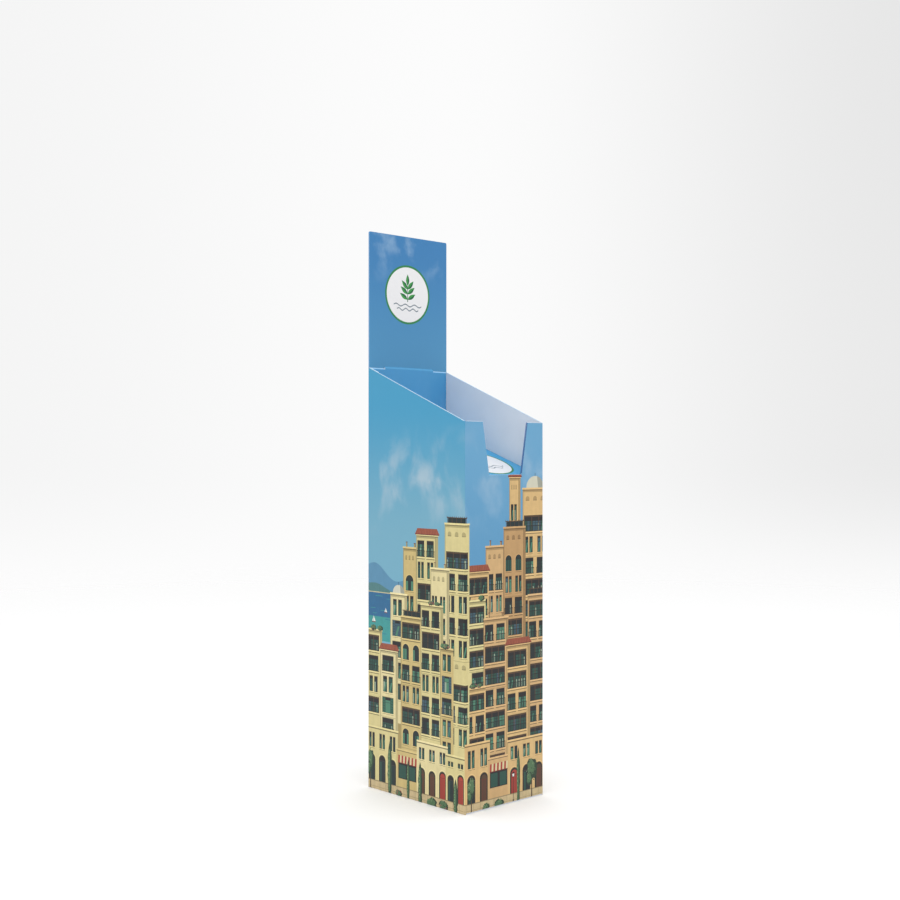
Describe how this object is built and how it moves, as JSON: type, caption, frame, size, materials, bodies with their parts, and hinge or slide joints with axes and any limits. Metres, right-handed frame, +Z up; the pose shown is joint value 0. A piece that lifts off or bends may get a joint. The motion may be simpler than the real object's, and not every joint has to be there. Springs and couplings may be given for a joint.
{
  "type": "cardboard display stand",
  "caption": "Tall floor display column folded from corrugated board, with a sloping goods tray, an access notch in the front wall and a printed header card at the back.",
  "frame": {"origin": "on the floor, under the middle of the column's footprint", "axes": "+Z up, -Y towards the notched front wall, +X to the right as seen from the front"},
  "size_m": [0.3, 0.396, 1.578],
  "materials": {
    "sleeve_board": "satin litho print outside, plain white liner inside",
    "insert_board": "satin litho print on the front, plain white liner behind"
  },
  "bodies": {
    "root": {"column_sleeve": "sleeve_board", "printed_insert": "insert_board"}
  },
  "joints": []
}
